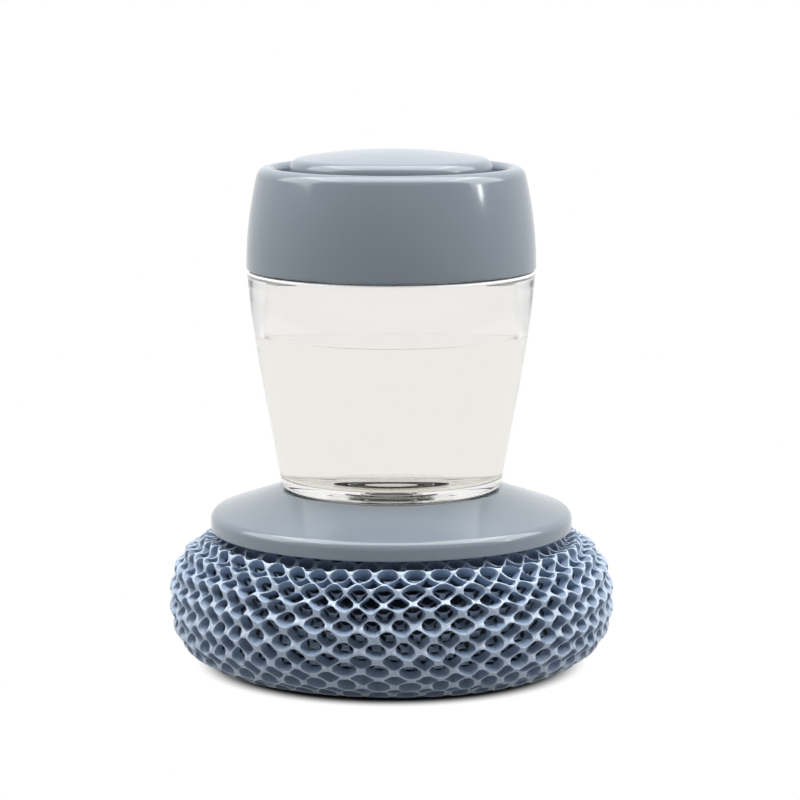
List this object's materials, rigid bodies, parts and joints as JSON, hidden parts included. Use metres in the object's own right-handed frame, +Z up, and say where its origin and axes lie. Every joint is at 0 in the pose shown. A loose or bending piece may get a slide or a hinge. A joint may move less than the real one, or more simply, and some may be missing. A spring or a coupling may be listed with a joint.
{
  "type": "soap dispensing palm scrubber",
  "caption": "Palm-held dish scrubber: a push-button cap pumps soap from a clear tapered tank through a conical base into a ring of honeycomb plastic netting.",
  "frame": {"origin": "middle of the netting's resting face, on the object's axis", "axes": "+Z up along the object's axis, from the netting to the button; X and Y level, with a bayonet lug on +X"},
  "size_m": [0.096, 0.0958, 0.1104],
  "materials": {
    "grey_abs": "gloss",
    "clear_plastic": "polished",
    "white_pp": "satin",
    "grey_pp": "satin",
    "silicone": "satin",
    "stainless": "polished",
    "netting": "satin",
    "nylon": "satin"
  },
  "bodies": {
    "head": {"mesh_scrubber": "netting", "scrubber_hub": "grey_pp", "scrubber_tie": "nylon", "base_plate": "grey_pp", "base_screws": "stainless", "base_cover": "grey_abs", "bayonet_ring": "white_pp"},
    "tank": {"tank": "clear_plastic", "spout": "clear_plastic", "spout_seal": "silicone", "outlet_valve": "silicone", "valve_retainer": "clear_plastic"},
    "pump": {"pump_body": "white_pp", "cap_gasket": "silicone", "air_valve": "silicone", "gland_ring": "white_pp", "lock_ring": "white_pp", "return_spring": "stainless"},
    "cap": {"cap_shell": "grey_abs"},
    "button": {"push_button": "grey_abs", "plunger": "white_pp", "piston_seal": "silicone"}
  },
  "joints": [
    {"name": "tank_twist", "type": "hinge", "parent": "head", "child": "tank", "pos_m": [0, 0, 0.038], "axis": [0, 0, 1], "range_deg": [0, 60]},
    {"name": "cap_lift", "type": "slide", "parent": "tank", "child": "pump", "axis": [0, 0, 1], "range_m": [0, 0.00183]},
    {"name": "cap_turn", "type": "hinge", "parent": "pump", "child": "cap", "pos_m": [0, 0, 0.095], "axis": [0, 0, 1], "range_deg": [0, 66]},
    {"name": "button_press", "type": "slide", "parent": "pump", "child": "button", "axis": [0, 0, -1], "range_m": [0, 0.005], "stiffness_N_per_m": 700, "springref_m": -0.004, "deforming": ["return_spring"]}
  ],
  "couplings": [
    {"joint": "cap_turn", "follows": "cap_lift", "rad_per_m": 628.32}
  ]
}
